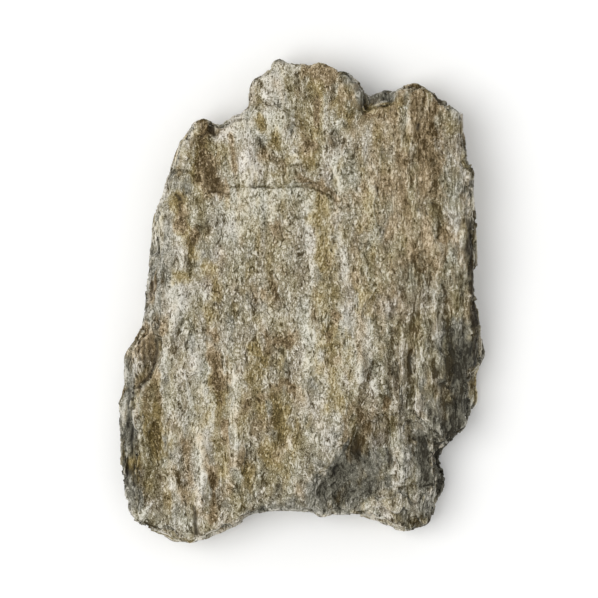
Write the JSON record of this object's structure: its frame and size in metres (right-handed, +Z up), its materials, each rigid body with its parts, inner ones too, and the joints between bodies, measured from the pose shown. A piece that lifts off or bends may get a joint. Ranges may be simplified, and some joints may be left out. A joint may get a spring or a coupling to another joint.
{
  "type": "metavolcanic rock",
  "caption": "Broken slab of foliated metavolcanic rock with a lineated upper face, stepped sheets on its sides and a flaked-off corner, lying flat on its underside.",
  "frame": {"origin": "on the resting plane, under the middle of the slab's bounding box", "axes": "+Z up, across the foliation; +Y along the lineation, towards the narrow end; +X to the right seen from above"},
  "size_m": [0.0994, 0.1304, 0.0209],
  "materials": {
    "stone": "rough broken stone, mica sheen and ochre stain"
  },
  "bodies": {
    "root": {"rock": "stone"}
  },
  "joints": []
}
